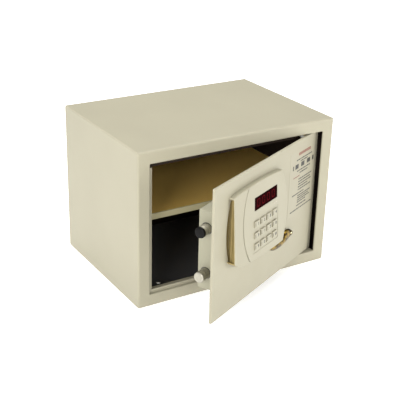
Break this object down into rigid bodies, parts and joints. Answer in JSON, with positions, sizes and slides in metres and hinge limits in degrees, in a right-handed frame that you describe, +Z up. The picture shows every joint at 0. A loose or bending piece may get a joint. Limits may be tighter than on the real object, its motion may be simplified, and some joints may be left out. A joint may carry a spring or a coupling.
{
  "type": "in-room safe",
  "caption": "Small steel room safe with a hinged door, keypad and display housing, motor-driven round bolts, removable shelf and a swivelling key cover.",
  "frame": {"origin": "centre of the cabinet's underside", "axes": "+Z up, the door faces -Y, the hinge is on the +X side"},
  "size_m": [0.35, 0.3687, 0.25],
  "materials": {
    "cabinet_paint": "satin powder coat, warm cream",
    "door_paint": "satin powder coat, warm cream",
    "shelf_paint": "satin powder coat, beige",
    "case_paint": "satin powder coat, warm cream",
    "mat_felt": "short felt, near black",
    "zinc_steel": "zinc plated",
    "chrome_plate": "bright plate",
    "bush_brass": "turned",
    "polished_brass": "polished and lacquered",
    "cream_abs": "fine texture, warm cream",
    "key_abs": "smooth, light grey cream",
    "key_rubber": "moulded silicone",
    "red_lens": "dark red filter",
    "light_lens": "diffused",
    "black_plastic": "fine texture",
    "acetal": "natural acetal",
    "circuit_board": "green resist",
    "flex_film": "amber film",
    "cell_sleeve": "printed sleeve, plain",
    "spring_contact": "nickel plated",
    "printed_label": "clear film with printed bars"
  },
  "bodies": {
    "cabinet": {"cabinet_shell": "cabinet_paint", "back_panel": "cabinet_paint", "door_stop_frame": "cabinet_paint", "strike_channel": "cabinet_paint", "hinge_bracket_upper": "zinc_steel", "hinge_bracket_lower": "zinc_steel", "hinge_bushes": "bush_brass", "shelf": "shelf_paint", "shelf_rails": "shelf_paint", "floor_mat": "mat_felt"},
    "door": {"door_plate": "door_paint", "hinge_lug_upper": "zinc_steel", "hinge_lug_lower": "zinc_steel", "hinge_pins": "zinc_steel", "instruction_label": "printed_label", "lock_chassis": "case_paint", "lock_cover": "case_paint", "lock_cover_screws": "zinc_steel", "bolt_bushes": "bush_brass", "motor_gearbox": "black_plastic", "motor_bracket": "zinc_steel", "main_board": "circuit_board", "ribbon_cable": "flex_film", "battery_tray": "black_plastic", "batteries": "cell_sleeve", "battery_contacts": "spring_contact", "grip_moulding": "cream_abs", "finger_cup": "cream_abs", "keypad_housing": "cream_abs", "housing_screws": "zinc_steel", "display_lens": "red_lens", "display_module": "black_plastic", "indicator_lights": "light_lens", "keypad_board": "circuit_board", "key_mat": "key_rubber", "override_housing": "chrome_plate", "override_nut": "zinc_steel"},
    "bolt_carriage": {"carriage_plate": "zinc_steel", "bolt_upper": "chrome_plate", "bolt_lower": "chrome_plate", "drive_rack": "acetal"},
    "drive_pinion": {"drive_pinion": "acetal"},
    "override_plug": {"override_plug": "chrome_plate", "override_cam": "zinc_steel"},
    "override_cover": {"override_cover": "polished_brass", "cover_pivot_clip": "zinc_steel"},
    "battery_cover": {"battery_cover": "black_plastic"},
    "key_1": {"key_1": "key_abs"},
    "key_2": {"key_2": "key_abs"},
    "key_3": {"key_3": "key_abs"},
    "key_4": {"key_4": "key_abs"},
    "key_5": {"key_5": "key_abs"},
    "key_6": {"key_6": "key_abs"},
    "key_7": {"key_7": "key_abs"},
    "key_8": {"key_8": "key_abs"},
    "key_9": {"key_9": "key_abs"},
    "key_0": {"key_0": "key_abs"},
    "key_clear": {"key_clear": "key_abs"},
    "key_lock": {"key_lock": "key_abs"}
  },
  "joints": [
    {"name": "door_swing", "type": "hinge", "parent": "cabinet", "child": "door", "pos_m": [0.1255, -0.113, 0.125], "axis": [0, 0, 1], "range_deg": [-25.5, 84.5]},
    {"name": "bolt_throw", "type": "slide", "parent": "door", "child": "bolt_carriage", "axis": [-0.9026, -0.4305, 0], "range_m": [0, 0.018]},
    {"name": "pinion_turn", "type": "hinge", "parent": "door", "child": "drive_pinion", "pos_m": [-0.05645, -0.17984, 0.126], "axis": [-0.4305, 0.9026, 0], "range_deg": [0, 115]},
    {"name": "override_turn", "type": "hinge", "parent": "door", "child": "override_plug", "pos_m": [0.06814, -0.14257, 0.081], "axis": [0.4305, -0.9026, 0], "range_deg": [-90, 0]},
    {"name": "override_cover_swivel", "type": "hinge", "parent": "door", "child": "override_cover", "pos_m": [0.02867, -0.17248, 0.0744], "axis": [0.4305, -0.9026, 0], "range_deg": [-50, 0]},
    {"name": "battery_cover_lift", "type": "slide", "parent": "door", "child": "battery_cover", "axis": [-0.4305, 0.9026, 0], "range_m": [0, 0.02]},
    {"name": "key_1_press", "type": "slide", "parent": "door", "child": "key_1", "axis": [-0.4299, 0.9013, -0.0529], "range_m": [0, 0.0012], "stiffness_N_per_m": 350},
    {"name": "key_2_press", "type": "slide", "parent": "door", "child": "key_2", "axis": [-0.4299, 0.9013, -0.0529], "range_m": [0, 0.0012], "stiffness_N_per_m": 350},
    {"name": "key_3_press", "type": "slide", "parent": "door", "child": "key_3", "axis": [-0.4299, 0.9013, -0.0529], "range_m": [0, 0.0012], "stiffness_N_per_m": 350},
    {"name": "key_4_press", "type": "slide", "parent": "door", "child": "key_4", "axis": [-0.4299, 0.9013, -0.0529], "range_m": [0, 0.0012], "stiffness_N_per_m": 350},
    {"name": "key_5_press", "type": "slide", "parent": "door", "child": "key_5", "axis": [-0.4299, 0.9013, -0.0529], "range_m": [0, 0.0012], "stiffness_N_per_m": 350},
    {"name": "key_6_press", "type": "slide", "parent": "door", "child": "key_6", "axis": [-0.4299, 0.9013, -0.0529], "range_m": [0, 0.0012], "stiffness_N_per_m": 350},
    {"name": "key_7_press", "type": "slide", "parent": "door", "child": "key_7", "axis": [-0.4299, 0.9013, -0.0529], "range_m": [0, 0.0012], "stiffness_N_per_m": 350},
    {"name": "key_8_press", "type": "slide", "parent": "door", "child": "key_8", "axis": [-0.4299, 0.9013, -0.0529], "range_m": [0, 0.0012], "stiffness_N_per_m": 350},
    {"name": "key_9_press", "type": "slide", "parent": "door", "child": "key_9", "axis": [-0.4299, 0.9013, -0.0529], "range_m": [0, 0.0012], "stiffness_N_per_m": 350},
    {"name": "key_0_press", "type": "slide", "parent": "door", "child": "key_0", "axis": [-0.4299, 0.9013, -0.0529], "range_m": [0, 0.0012], "stiffness_N_per_m": 350},
    {"name": "key_clear_press", "type": "slide", "parent": "door", "child": "key_clear", "axis": [-0.4299, 0.9013, -0.0529], "range_m": [0, 0.0012], "stiffness_N_per_m": 350},
    {"name": "key_lock_press", "type": "slide", "parent": "door", "child": "key_lock", "axis": [-0.4299, 0.9013, -0.0529], "range_m": [0, 0.0012], "stiffness_N_per_m": 350}
  ],
  "couplings": [
    {"joint": "pinion_turn", "follows": "bolt_throw", "rad_per_m": 111.11}
  ]
}
